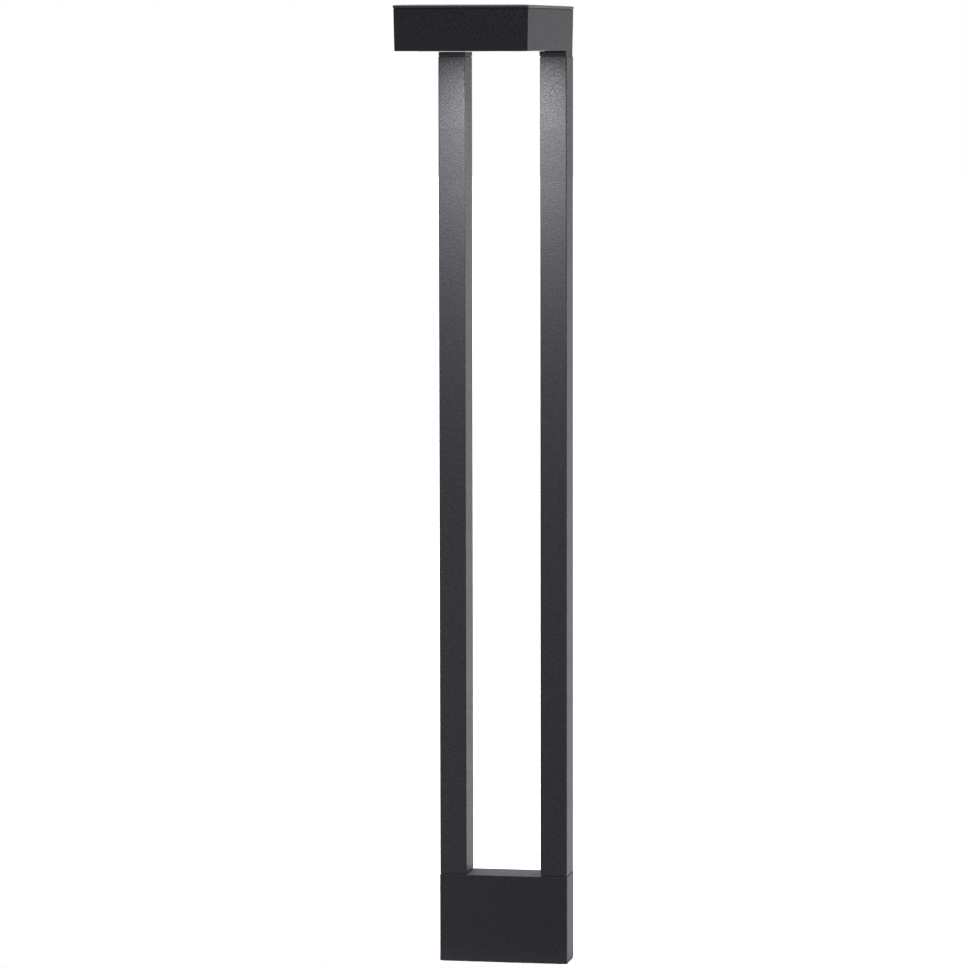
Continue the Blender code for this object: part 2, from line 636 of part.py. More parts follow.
def lens_body(inset):
    return window_outline(WINDOW_WIDTH - 0.0008 - 2 * inset, WINDOW_LENGTH - 0.0008 - 2 * inset, 0.0030)


make("diffuser_lens", shell([
    (lens_body(0.020), HEAD_BOTTOM - LENS_PROUD),
    (lens_body(0.008), HEAD_BOTTOM - LENS_PROUD * 0.85),
    (lens_body(0.002), HEAD_BOTTOM - LENS_PROUD * 0.50),
    (lens_body(0.0), HEAD_BOTTOM),
    (lens_body(0.0), LENS_Z),
    (window_outline(LENS_WIDTH, LENS_LENGTH, 0.004), LENS_Z),
    (window_outline(LENS_WIDTH, LENS_LENGTH, 0.004), LENS_Z + LENS_FLANGE),
]), OPAL)

# clamping frame: a flat ring with four ears, two beyond each end of the lens
frame_opening = window_outline(FRAME_OPENING_WIDTH, FRAME_OPENING_LENGTH, 0.004)
frame_outer = window_outline(LENS_WIDTH, FRAME_LENGTH, 0.005)
lens_frame = make("lens_frame", shell([
    (frame_opening, FRAME_Z), (frame_outer, FRAME_Z),
    (frame_outer, FRAME_Z + FRAME_THICK), (frame_opening, FRAME_Z + FRAME_THICK),
], ring=True), SHEET)
combine(lens_frame, join(*[
    block(0.009, 0.012, FRAME_Z, FRAME_Z + FRAME_THICK, px, WINDOW_Y + math.copysign(0.0710, py - WINDOW_Y), 0.002)
    for px, py in lens_screws
]), "UNION", "ears")
combine(lens_frame, join(*[
    cylinder(M3_BORE, FRAME_Z - OVER, FRAME_Z + FRAME_THICK + OVER, px, py, 18) for px, py in lens_screws
]), "DIFFERENCE", "holes")
for number, (px, py) in enumerate(lens_screws, 1):
    make(f"lens_screw_{number}", moved(screw(*LENS_SCREW, 12),
                                       at(px, py, FRAME_Z + FRAME_THICK + GAP)), STAINLESS)

reflector_bottom, reflector_top = FRAME_Z + FRAME_THICK + GAP, BOARD_Z - GAP
reflector_mouth, reflector_end = [
    [window_outline(width + 2 * wall, length + 2 * wall, radius)
     for wall, radius in ((0.0, 0.004), (REFLECTOR_WALL, 0.005))]
    for width, length in ((REFLECTOR_WIDTH, REFLECTOR_LENGTH), (REFLECTOR_TOP_WIDTH, REFLECTOR_TOP_LENGTH))
]
make("reflector", shell([
    (reflector_mouth[0], reflector_bottom), (reflector_mouth[1], reflector_bottom),
    (reflector_end[1], reflector_top), (reflector_end[0], reflector_top),
], ring=True), WHITE)
make("led_board", block(BOARD_WIDTH, BOARD_LENGTH, BOARD_Z, BOARD_Z + BOARD_THICK,
                        0.0, WINDOW_Y, radius=0.002), BOARD)
for number in range(6):
    px = (-0.020, 0.020)[number % 2]
    py = WINDOW_Y + (-0.036, 0.0, 0.036)[number // 2]
    make(f"led_{number + 1}", block(LED_SIZE, LED_SIZE, BOARD_Z - GAP - LED_THICK, BOARD_Z - GAP,
                                    px, py, radius=0.0006), LED)
heat_spreader = make("heat_spreader", block(SPREADER_WIDTH, SPREADER_LENGTH, SPREADER_Z,
                                            SPREADER_Z + SPREADER_THICK, 0.0, WINDOW_Y, radius=0.003), SHEET)
combine(heat_spreader, join(*[
    cylinder(M4_BORE, SPREADER_Z - OVER, SPREADER_Z + SPREADER_THICK + OVER, px, py, 18)
    for px, py in spreader_screws
]), "DIFFERENCE", "holes")
combine(heat_spreader, block(
    0.008, 0.016, SPREADER_Z - OVER, SPREADER_Z + SPREADER_THICK + OVER,
    LEAD_X, WINDOW_Y + SPREADER_LENGTH / 2, 0.0015), "DIFFERENCE", "lead_notch")
for number, (px, py) in enumerate(spreader_screws, 1):
    make(f"spreader_screw_{number}", moved(screw(*SPREADER_SCREW),
                                           at(px, py, SPREADER_Z + SPREADER_THICK + GAP)), STAINLESS)

# ----------------------------------------------------------------- driver and wiring
driver_floor = FLOOR_Z + GAP
led_driver = make("led_driver", eased_block(DRIVER_LENGTH, DRIVER_DEPTH, driver_floor, driver_floor + DRIVER_HEIGHT,
                                            0.0, DRIVER_Y, radius=0.002, ease=0.0006), CASE)
combine(led_driver, join(*[
    block(0.016, 0.010, driver_boss_top + GAP, FLOOR_Z + DRIVER_EAR_TOP, side * 0.0510, DRIVER_Y, 0.0008)
    for side in (-1, 1)
]), "UNION", "ears")
combine(led_driver, join(*[
    cylinder(M3_BORE, FLOOR_Z, FLOOR_Z + 0.012, px, py, 18) for px, py in driver_screws
]), "DIFFERENCE", "ear_holes")
for (px, py), label in zip(driver_screws, ("left", "right")):
    make(f"driver_screw_{label}", moved(screw(*DRIVER_SCREW, 12),
                                        at(px, py, FLOOR_Z + DRIVER_EAR_TOP + GAP)), STAINLESS)

make("terminal_block", eased_block(TERMINAL_WIDTH, TERMINAL_DEPTH, driver_floor, driver_floor + TERMINAL_HEIGHT,
                                   0.0, CABLE_Y, radius=0.001, ease=0.0005), TERMINAL)
junction_exit_z = JUNCTION_Z + JUNCTION_HEIGHT / 2
make("post_cable", tube(bent([
    (JUNCTION_WIDTH / 2 + GAP, 0.0, junction_exit_z),
    (0.0400, 0.0, junction_exit_z),
    (POST_X, CABLE_Y, CABLE_TURN_Z),
    (POST_X, CABLE_Y, HEAD_CABLE_Z),
    (0.0400, CABLE_Y, HEAD_CABLE_Z),
    (TERMINAL_WIDTH / 2 + GAP, CABLE_Y, HEAD_CABLE_Z - 0.002),
], 0.0070), CABLE_DIA), SHEATH)
driver_front = DRIVER_Y - DRIVER_DEPTH / 2
lead_riser_y, lead_exit_z = driver_front - 0.0035, driver_floor + 0.014
lead_end_y = WINDOW_Y + 0.050
make("led_lead", tube(bent([
    (LEAD_X, driver_front - GAP, lead_exit_z),
    (LEAD_X, lead_riser_y, lead_exit_z),
    (LEAD_X, lead_riser_y, LEAD_Z),
    (LEAD_X, lead_end_y, LEAD_Z),
    (LEAD_X, lead_end_y, SPREADER_Z + SPREADER_THICK + GAP),
], 0.0024, 4), LEAD_DIA), SHEATH)
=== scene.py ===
import math

import bpy
from mathutils import Matrix, Vector


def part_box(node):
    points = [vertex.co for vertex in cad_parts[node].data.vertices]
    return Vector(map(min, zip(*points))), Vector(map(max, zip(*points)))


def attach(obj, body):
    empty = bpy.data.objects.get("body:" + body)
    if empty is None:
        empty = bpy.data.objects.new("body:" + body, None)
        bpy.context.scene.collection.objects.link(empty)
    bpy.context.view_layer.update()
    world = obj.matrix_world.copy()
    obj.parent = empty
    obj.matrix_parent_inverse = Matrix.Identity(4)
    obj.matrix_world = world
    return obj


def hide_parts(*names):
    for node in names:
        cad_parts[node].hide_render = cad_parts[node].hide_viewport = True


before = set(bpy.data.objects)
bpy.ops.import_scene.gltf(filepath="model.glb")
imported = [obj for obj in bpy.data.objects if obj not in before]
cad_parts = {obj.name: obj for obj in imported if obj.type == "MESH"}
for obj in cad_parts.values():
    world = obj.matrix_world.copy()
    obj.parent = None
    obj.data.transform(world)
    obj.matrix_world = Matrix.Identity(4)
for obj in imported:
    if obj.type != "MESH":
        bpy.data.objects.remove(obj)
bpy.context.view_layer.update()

scene = bpy.context.scene

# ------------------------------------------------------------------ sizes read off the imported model
low, high = {}, {}
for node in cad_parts:
    low[node], high[node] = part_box(node)

TOTAL = high["top_cover"].z
BASE_LO, BASE_HI = low["base_housing"], high["base_housing"]
HEAD_LO, HEAD_HI = low["head_housing"], high["head_housing"]
POST_LO, POST_HI = low["post_right"], high["post_right"]
LENS_LO, LENS_HI = low["diffuser_lens"], high["diffuser_lens"]
BASE_W, BASE_D = BASE_HI.x - BASE_LO.x, BASE_HI.y - BASE_LO.y
HEAD_W, HEAD_LEN = HEAD_HI.x - HEAD_LO.x, HEAD_HI.y - HEAD_LO.y
POST_W, POST_D = POST_HI.x - POST_LO.x, POST_HI.y - POST_LO.y
POST_X = (POST_LO.x + POST_HI.x) / 2
HEAD_Y = (HEAD_HI.y + HEAD_LO.y) / 2
WINDOW_Y = (LENS_LO.y + LENS_HI.y) / 2
RIM_Z = HEAD_HI.z
STUB_BOTTOM = HEAD_LO.z
FRAME_Z, SPREADER_Z = low["lens_frame"].z, low["heat_spreader"].z

# ------------------------------------------------------------------ sizes fixed by the design
GAP = 0.0003                 # clearance between neighbouring pieces
OVER = 0.002                 # a cutter passes the face that it opens by this much
STUB_HEIGHT = 0.0056
STUB_FRONT_STEP = 0.0010     # the stub stands this far in front of the post
STUB_INNER_STEP = 0.0003     # and this far past the post's inner side
COVER_THICK = 0.0036
HEAD_FLOOR = 0.003
HEAD_DRAFT = 0.00075         # each side of the head, narrower at the bottom
WINDOW_W, WINDOW_L = 0.110, 0.125
LENS_FLANGE = 0.002
ROD_Y, ROD_HOLE_DIA = 0.008, 0.0086
CABLE_Y, CABLE_HOLE_DIA = -0.009, 0.010
M3_BORE, M4_BORE, M5_BORE = 0.0036, 0.0046, 0.0056

LUG_X, CLAMP_SCREW_Z = 0.052, 0.026
CLAMP_SEAT_DIA, CLAMP_SEAT_DEPTH = 0.0096, 0.0027
COVER_POCKET_DIA, COVER_POCKET_DEPTH = 0.0084, 0.0045
COVER_SCREW_FRONT, COVER_SCREW_REAR = (0.0560, -0.2485), (0.0280, 0.0100)
LENS_SCREW_X, LENS_SCREW_Y = 0.026, 0.0725
SPREADER_SCREW_X, SPREADER_SCREW_Y = 0.050, 0.0735
DRIVER_EAR_X, DRIVER_Y = 0.0535, -0.0425

# screws: shank, length, head, head height, socket
CLAMP_SCREW = (0.005, 0.015, 0.009, 0.0022, 0.003)
COVER_SCREW = (0.004, 0.0370, 0.0076, 0.0035, 0.003)

# bosses that stand on the head's floor
COVER_BOSS_DIA, LENS_BOSS_DIA, SPREADER_BOSS_DIA, DRIVER_BOSS_DIA = 0.010, 0.0066, 0.0080, 0.0076
DRIVER_BOSS_HEIGHT = 0.004
PILLAR_TOP = 0.9885          # the cover's own bosses meet the front and rear pillars here
BOSS_SINK = 0.0015           # a boss starts this far inside the floor

HEAD_BOTTOM = STUB_BOTTOM + STUB_HEIGHT
FLOOR_Z = HEAD_BOTTOM + HEAD_FLOOR
COVER_BOTTOM = TOTAL - COVER_THICK
BOSS_ROOT = FLOOR_Z - BOSS_SINK

cover_screws = [(sx * px, py) for px, py in (COVER_SCREW_FRONT, COVER_SCREW_REAR) for sx in (-1, 1)]
lens_screws = [(sx * LENS_SCREW_X, WINDOW_Y + sy * LENS_SCREW_Y) for sy in (-1, 1) for sx in (-1, 1)]
spreader_screws = [(sx * SPREADER_SCREW_X, WINDOW_Y + sy * SPREADER_SCREW_Y)
                   for sy in (-1, 1) for sx in (-1, 1)]
driver_screws = [(sx * DRIVER_EAR_X, DRIVER_Y) for sx in (-1, 1)]

# ------------------------------------------------------------------ shape helpers
SIDES, FEW_SIDES = 48, 32    # of a round outline, and of a small hidden one
CORNER_STEPS = 8
LEAST_RADIUS = 0.0002


def rounded(width, depth, radius, x=0.0, y=0.0):
    """Outline of a rectangle with rounded corners."""
    radius = max(radius, LEAST_RADIUS)
    points = []
    for corner, (sx, sy) in enumerate(((1, -1), (1, 1), (-1, 1), (-1, -1))):
        cx, cy = x + sx * (width / 2 - radius), y + sy * (depth / 2 - radius)
        for step in range(CORNER_STEPS + 1):
            a = math.radians(-90 + 90 * corner + 90 * step / CORNER_STEPS)
            points.append((cx + radius * math.cos(a), cy + radius * math.sin(a)))
    return points


def rect_between(x0, x1, y0, y1, radius):
    return rounded(x1 - x0, y1 - y0, radius, (x0 + x1) / 2, (y0 + y1) / 2)


def circle(diameter, count=SIDES, x=0.0, y=0.0):
    return [(x + diameter / 2 * math.cos(2 * math.pi * i / count),
             y + diameter / 2 * math.sin(2 * math.pi * i / count)) for i in range(count)]


def hexagon(flats, count=SIDES):
    """Outline of a hexagon with as many points as a circle, so that the two can be joined."""
    points = []
    for i in range(count):
        a = 2 * math.pi * i / count
        r = flats / 2 / math.cos((a % (math.pi / 3)) - math.pi / 6)
        points.append((r * math.cos(a), r * math.sin(a)))
    return points


def shell(loops, ring=False):
    """Solid through stacked (outline, height) rows, closed by end faces or, as a ring, by its first row."""
    verts, faces = [], []
    count = len(loops[0][0])
    for outline, z in loops:
        verts.extend((px, py, z) for px, py in outline)
    rows = len(loops)
    for row in range(rows if ring else rows - 1):
        a, b = row * count, ((row + 1) % rows) * count
        for i in range(count):
            j = (i + 1) % count
            faces.append((a + i, a + j, b + j, b + i))
    if not ring:
        faces.append(tuple(range(count - 1, -1, -1)))
        faces.append(tuple(range((rows - 1) * count, rows * count)))
    return verts, faces


def join(*solids):
    verts, faces = [], []
    for v, f in solids:
        start = len(verts)
        verts.extend(v)
        faces.extend(tuple(i + start for i in face) for face in f)
    return verts, faces


def at(x, y, z, flip=False, back=False):
    """Place of something modelled along +Z: flip points it down, back points it out of the lamp's back."""
    matrix = Matrix.Translation((x, y, z))
    if flip:
        matrix = matrix @ Matrix.Rotation(math.pi, 4, "X")
    if back:
        matrix = matrix @ Matrix.Rotation(-math.pi / 2, 4, "X")
    return matrix


def moved(solid, matrix):
    return [tuple(matrix @ Vector(v)) for v in solid[0]], solid[1]


def edge(z, radius, way, steps=5):
    """Insets and heights of a rounded edge.

    Way +1 runs from a bottom face up to the side, -1 from the side up to a top.
    """
    row = []
    for step in range(steps + 1):
        a = math.pi / 2 * step / steps
        if way > 0:
            row.append((radius * (1 - math.sin(a)), z + radius * (1 - math.cos(a))))
        else:
            row.append((radius * (1 - math.cos(a)), z - radius * (1 - math.sin(a))))
    return row


def cylinder(diameter, z0, z1, x=0.0, y=0.0, count=SIDES):
    return shell([(circle(diameter, count, x, y), z0), (circle(diameter, count, x, y), z1)])


def drill(diameter, z0, z1, mouth, x=0.0, y=0.0):
    """A cutter that leaves a small chamfer, as wide as mouth, where it breaks out at z1."""
    past = 0.001
    return shell([(circle(diameter, x=x, y=y), z0), (circle(diameter, x=x, y=y), z1 - mouth),
                  (circle(diameter + 2 * (mouth + past), x=x, y=y), z1 + past)])


def socket_screw(shank, length, head_dia, height, flats):
    """Pan-headed socket screw along +Z, its head's underside at 0, with thread ridges on the shank."""
    pitch, crest, root = shank * 0.2, shank * 0.99, shank * 0.86
    rows = [(circle(shank * 0.70), -length), (circle(shank * 0.98), -length + shank * 0.16)]
    z = -length + shank * 0.22
    while z < -pitch:
        rows += [(circle(crest), z), (circle(root), z + pitch * 0.5)]
        z += pitch
    rows += [(circle(shank), -pitch * 0.4), (circle(shank), 0.0), (circle(head_dia * 0.97), 0.0)]
    rows += [(circle(head_dia - 2 * i), zz) for i, zz in edge(0.0, height * 0.12, 1, 2)[1:]]
    rows += [(circle(head_dia - 2 * i), zz) for i, zz in edge(height, height * 0.42, -1, 6)]
    rows += [(circle(flats * 1.24), height), (hexagon(flats), height - flats * 0.08),
             (hexagon(flats), height * 0.42), (hexagon(flats * 0.3), height * 0.28)]
    return shell(rows)


def tool(solid):
    mesh = bpy.data.meshes.new("tool")
    mesh.from_pydata(solid[0], [], solid[1])
    obj = bpy.data.objects.new("tool", mesh)
    scene.collection.objects.link(obj)
    return obj


SHARP_ANGLE = 32.0           # edges steeper than this stay crisp


def piece(name, solid, material, node, cuts=()):
    """One visible piece: built, cut or joined by (operation, solid) pairs, shaded, put on the root body."""
    mesh = bpy.data.meshes.new(name)
    mesh.from_pydata(solid[0], [], solid[1])
    obj = bpy.data.objects.new(name, mesh)
    scene.collection.objects.link(obj)
    if cuts:
        tools = []
        for operation, shape in cuts:
            tools.append(tool(shape))
            mod = obj.modifiers.new("cut", "BOOLEAN")
            mod.operation, mod.solver, mod.object = operation, "EXACT", tools[-1]
        done = obj.evaluated_get(bpy.context.evaluated_depsgraph_get())
        result = bpy.data.meshes.new_from_object(done)
        obj.modifiers.clear()
        obj.data = result
        result.name = name
        for extra in tools:
            bpy.data.objects.remove(extra)
    obj.data.polygons.foreach_set("use_smooth", [True] * len(obj.data.polygons))
    obj.data.set_sharp_from_angle(angle=math.radians(SHARP_ANGLE))
    weighted = obj.modifiers.new("weighted", "WEIGHTED_NORMAL")
    weighted.keep_sharp = True
    weighted.weight = 90
    obj.data.materials.clear()
    obj.data.materials.append(material)
    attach(obj, "root")
    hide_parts(node)
    return obj


# ------------------------------------------------------------------ material helpers
NOISE_LOW, NOISE_HIGH = 0.3, 0.7    # most of a noise's values lie between these


class Nodes:
    """A small hand for wiring one material's node tree."""

    def __init__(self, name):
        self.mat = bpy.data.materials.new(name)
        self.mat.use_nodes = True
        self.tree = self.mat.node_tree
        self.bsdf = self.tree.nodes["Principled BSDF"]
        self.coord = self.tree.nodes.new("ShaderNodeTexCoord").outputs["Object"]

    def add(self, kind, settings=None, **inputs):
        node = self.tree.nodes.new(kind)
        for key, value in (settings or {}).items():
            setattr(node, key, value)
        for key, value in inputs.items():
            self.feed(node.inputs[key.replace("_", " ")], value)
        return node

    def feed(self, socket, value):
        if isinstance(value, bpy.types.NodeSocket):
            self.tree.links.new(value, socket)
        else:
            socket.default_value = value

    def noise(self, scale, detail=2.0, rough=0.5, vector=None):
        return self.add("ShaderNodeTexNoise", None, Vector=vector or self.coord, Scale=scale,
                        Detail=detail, Roughness=rough).outputs["Fac"]

    def stretched(self, x, y, z):
        return self.add("ShaderNodeMapping", None, Vector=self.coord, Scale=(x, y, z)).outputs["Vector"]

    def remap(self, value, a0, a1, b0, b1):
        node = self.add("ShaderNodeMapRange")
        for socket, number in zip(node.inputs, (value, a0, a1, b0, b1)):
            self.feed(socket, number)
        return node.outputs["Result"]

    def spread(self, noise, b0=0.0, b1=1.0):
        return self.remap(noise, NOISE_LOW, NOISE_HIGH, b0, b1)

    def math(self, operation, *values):
        node = self.add("ShaderNodeMath", {"operation": operation})
        for socket, value in zip(node.inputs, values):
            self.feed(socket, value)
        return node.outputs[0]

    def blend(self, factor, a, b):
        node = self.add("ShaderNodeMix", {"data_type": "RGBA"})
        self.feed(node.inputs[0], factor)
        self.feed(node.inputs[6], (*a, 1.0) if isinstance(a, tuple) else a)
        self.feed(node.inputs[7], (*b, 1.0) if isinstance(b, tuple) else b)
        return node.outputs[2]

    def bump(self, height, distance, strength, normal=None):
        node = self.add("ShaderNodeBump", None, Height=height, Distance=distance, Strength=strength)
        if normal:
            self.feed(node.inputs["Normal"], normal)
        return node.outputs["Normal"]

    def finish(self, **inputs):
        for key, value in inputs.items():
            self.feed(self.bsdf.inputs[key.replace("_", " ")], value)
        return self.mat


# ------------------------------------------------------------------ materials
COAT_HAZE, COAT_GRAIN = (0.0195, 0.0198, 0.0243), 0.37
COAT_LOW, COAT_HIGH = 0.36, 0.64    # narrower than the noise's own range, for crisper grains
LENS_GLOW, LENS_RIM_GLOW = 0.78, 0.36
LENS_FADE_FROM, LENS_FADE_TO = -0.024, -0.0006    # places measured outwards from the window's edge


def powder_coat(name, sheen, painted_light_tint=1.0, relief=1.0, contrast=1.0):
    """Fine-texture graphite powder coat: small even grains with darker dips, over a faint cloudiness; a tint
    above 1 paints in light.
    """
    n = Nodes(name)
    # the coat's colour scaled by the tint factor: painted light where that factor is above 1
    haze_and_painted_light = tuple(c * painted_light_tint for c in COAT_HAZE)
    dip, tip = (tuple(c * (1 + contrast * step) for c in haze_and_painted_light) for step in (-COAT_GRAIN, COAT_GRAIN))
    grain = n.noise(620.0, 2.0, 0.55)
    fine = n.noise(2300.0, 2.0, 0.55)
    cloud = n.noise(22.0, 3.0, 0.5)
    tone = n.math("ADD", n.math("MULTIPLY", grain, 0.72), n.math("MULTIPLY", fine, 0.28))
    colour = n.blend(n.remap(tone, COAT_LOW, COAT_HIGH, 0.0, 1.0), dip, tip)
    colour = n.blend(n.spread(cloud, 0.0, 0.25), colour, haze_and_painted_light)
    rough = n.remap(tone, COAT_LOW, COAT_HIGH, 0.64, 0.48)
    normal = n.bump(grain, 0.00045 * relief, 0.6)
    normal = n.bump(fine, 0.00010 * relief, 0.5, normal)
    return n.finish(Base_Color=colour, Roughness=rough, Normal=normal, IOR=1.5, Specular_IOR_Level=sheen)


def cast_metal(name, dark, light, rough):
    n = Nodes(name)
    pits = n.noise(420.0, 4.0, 0.6)
    patch = n.noise(45.0, 3.0, 0.55)
    return n.finish(Base_Color=n.blend(n.spread(patch), dark, light), Metallic=1.0,
                    Roughness=n.spread(pits, rough + 0.1, rough - 0.05), Normal=n.bump(pits, 0.00018, 0.5))


def brushed_metal(name, dark, light, rough, axis):
    """Metal with fine lines along one axis, 0, 1 or 2."""
    n = Nodes(name)
    scale = [900.0, 900.0, 900.0]
    scale[axis] = 18.0
    lines = n.noise(1.0, 3.0, 0.6, n.stretched(*scale))
    patch = n.noise(60.0, 2.0, 0.5)
    return n.finish(Base_Color=n.blend(n.spread(patch), dark, light), Metallic=1.0,
                    Roughness=n.spread(lines, rough + 0.08, rough - 0.06), Normal=n.bump(lines, 0.00003, 0.4))


def turned_steel(name, dark, light):
    n = Nodes(name)
    lines = n.noise(700.0, 2.0, 0.5)
    stain = n.noise(180.0, 3.0, 0.6)
    return n.finish(Base_Color=n.blend(n.spread(stain), dark, light), Metallic=1.0,
                    Roughness=n.spread(lines, 0.36, 0.22), Normal=n.bump(lines, 0.00003, 0.3))


def moulded(name, dark, light, rough, bump=0.00005, scale=1500.0, spec=0.5):
    """Moulded rubber or plastic: spark-eroded skin and a slight change of tone."""
    n = Nodes(name)
    skin = n.noise(scale, 2.0, 0.6)
    patch = n.noise(70.0, 3.0, 0.5)
    return n.finish(Base_Color=n.blend(n.spread(patch), dark, light),
                    Roughness=n.spread(skin, rough + 0.06, rough - 0.06),
                    Specular_IOR_Level=spec, Normal=n.bump(skin, bump, 0.5))


def opal(name):
    """Satin opal lens lit from behind: evenly bright below, duller towards its rim and up its sides."""
    n = Nodes(name)
    frost = n.noise(1800.0, 2.0, 0.5)
    mottle = n.noise(26.0, 2.0, 0.5)
    glow = n.blend(n.spread(mottle), (1.0, 0.970, 0.925), (1.0, 0.985, 0.955))
    place = n.add("ShaderNodeSeparateXYZ", None, Vector=n.coord)
    across = n.math("SUBTRACT", n.math("ABSOLUTE", place.outputs["X"]), WINDOW_W / 2)
    from_middle = n.math("ABSOLUTE", n.math("SUBTRACT", place.outputs["Y"], WINDOW_Y))
    along = n.math("SUBTRACT", from_middle, WINDOW_L / 2)
    outwards = n.math("MAXIMUM", across, along)
    strength = n.remap(outwards, LENS_FADE_FROM, LENS_FADE_TO, LENS_GLOW, LENS_RIM_GLOW)
    return n.finish(Base_Color=n.blend(mottle, (0.16, 0.16, 0.155), (0.20, 0.20, 0.195)),
                    Roughness=n.spread(frost, 0.34, 0.24), Normal=n.bump(frost, 0.00003, 0.4),
                    Emission_Color=glow, Emission_Strength=strength)


def paper(name):
    n = Nodes(name)
    tone = n.noise(3.0, 2.0, 0.5)
    return n.finish(Base_Color=n.blend(tone, (0.86, 0.86, 0.86), (0.88, 0.88, 0.88)), Roughness=0.9,
                    Specular_IOR_Level=0.1)


# one graphite coat in four copies: the head's, cover's and plinth's are coloured 12 to 16 per cent lighter
# than the posts' as painted light
POST_COAT = powder_coat("graphite_coat_posts", 0.33, 1.0, 1.25)
HEAD_COAT_PAINTED_LIGHT = powder_coat("graphite_coat_head_painted_light", 0.16, 1.14, 1.2, 1.15)
LID_COAT_PAINTED_LIGHT = powder_coat("graphite_coat_cover_painted_light", 0.64, 1.12)
BASE_COAT_PAINTED_LIGHT = powder_coat("graphite_coat_plinth_painted_light", 0.18, 1.16, 0.3, 0.55)
STEEL = turned_steel("stainless", (0.34, 0.335, 0.33), (0.50, 0.49, 0.48))
CASTING = cast_metal("cast_aluminium", (0.40, 0.40, 0.41), (0.55, 0.55, 0.56), 0.48)
SHEET = brushed_metal("sheet_aluminium", (0.60, 0.60, 0.61), (0.72, 0.72, 0.73), 0.34, axis=1)
RUBBER = moulded("epdm_rubber", (0.010, 0.010, 0.010), (0.020, 0.020, 0.021), 0.72, 0.00006, 1100.0, 0.35)
WHITE = moulded("white_reflector_plastic", (0.80, 0.80, 0.79), (0.86, 0.86, 0.85), 0.42)
BOARD = moulded("board_mask", (0.76, 0.77, 0.76), (0.84, 0.85, 0.84), 0.38, 0.00002)
PHOSPHOR = moulded("phosphor", (0.86, 0.66, 0.14), (0.95, 0.78, 0.25), 0.40, 0.00002)
CASE = moulded("driver_case_plastic", (0.70, 0.70, 0.68), (0.80, 0.80, 0.78), 0.48)
TERMINAL = moulded("terminal_plastic", (0.20, 0.21, 0.22), (0.27, 0.28, 0.29), 0.50)
SHEATH = moulded("cable_rubber", (0.014, 0.014, 0.015), (0.028, 0.028, 0.030), 0.58, 0.00005, 900.0)
OPAL = opal("opal_glow")

# ------------------------------------------------------------------ plinth
BASE_R, BASE_EDGE, BASE_WALL, BASE_TOP_WALL = 0.0014, 0.0004, 0.004, 0.006
CAVITY_R, CAVITY_FILLET = 0.003, 0.0015
FOOT_EASE = 0.0004           # chamfer around the underside, outside and inside
TOP_DRILL_DEPTH = 0.010      # deep enough to pass the top wall
ROD_MOUTH, CABLE_MOUTH, SEAT_MOUTH = 0.0003, 0.0004, 0.0003
CLAMP_BORE_FROM, CLAMP_BORE_TO = -0.010, -0.0025    # from inside the cavity into the screw's seat


def base_outline(inset=0.0):
    return rounded(BASE_W - 2 * inset, BASE_D - 2 * inset, BASE_R - inset)


def base_cavity(inset=0.0):
    return rounded(BASE_W - 2 * BASE_WALL - 2 * inset, BASE_D - 2 * BASE_WALL - 2 * inset, CAVITY_R - inset)


loops = [(base_cavity(i), z) for i, z in reversed(edge(BASE_HI.z - BASE_TOP_WALL, CAVITY_FILLET, -1, 4))]
loops += [(base_cavity(), FOOT_EASE), (base_cavity(-FOOT_EASE), 0.0)]
loops += [(base_outline(FOOT_EASE), 0.0), (base_outline(), FOOT_EASE)]
loops += [(base_outline(i), z) for i, z in edge(BASE_HI.z, BASE_EDGE, -1)]

drill_z = BASE_HI.z - TOP_DRILL_DEPTH
top_holes = [drill(ROD_HOLE_DIA, drill_z, BASE_HI.z, ROD_MOUTH, side * POST_X, ROD_Y) for side in (-1, 1)]
top_holes.append(drill(CABLE_HOLE_DIA, drill_z, BASE_HI.z, CABLE_MOUTH, POST_X, CABLE_Y))
seats, clamps = [], []
for side in (-1, 1):
    back = at(side * LUG_X, BASE_D / 2, CLAMP_SCREW_Z, back=True)
    clamps.append(moved(cylinder(M5_BORE, CLAMP_BORE_FROM, CLAMP_BORE_TO), back))
    seats.append(moved(drill(CLAMP_SEAT_DIA, -CLAMP_SEAT_DEPTH, 0.0, SEAT_MOUTH), back))
piece("plinth", shell(loops), BASE_COAT_PAINTED_LIGHT, "base_housing",
      cuts=(("DIFFERENCE", join(*top_holes)), ("DIFFERENCE", join(*clamps)), ("DIFFERENCE", join(*seats))))

for side, label in ((-1, "left"), (1, "right")):
    place = at(side * LUG_X, BASE_D / 2 - CLAMP_SEAT_DEPTH, CLAMP_SCREW_Z, back=True)
    piece(f"plinth_screw_{label}", moved(socket_screw(*CLAMP_SCREW), place), STEEL,
          f"base_screw_{label}")

# ------------------------------------------------------------------ posts and their seals
POST_R, POST_WALL, POST_END, HOLLOW_R = 0.0015, 0.003, 0.00030, 0.001
SEAM = 0.0008                # what shows of a seal, at the plinth and under the head
SEAL_EDGE_INSET, SEAL_MIDDLE_INSET = 0.00075, 0.00065
post_z0, post_z1 = BASE_HI.z + SEAM, STUB_BOTTOM - SEAM


def bar(x, inset=0.0):
    return rounded(POST_W - 2 * inset, POST_D - 2 * inset, POST_R - inset, x)


def bar_hollow(x):
    return rounded(POST_W - 2 * POST_WALL, POST_D - 2 * POST_WALL, HOLLOW_R, x)


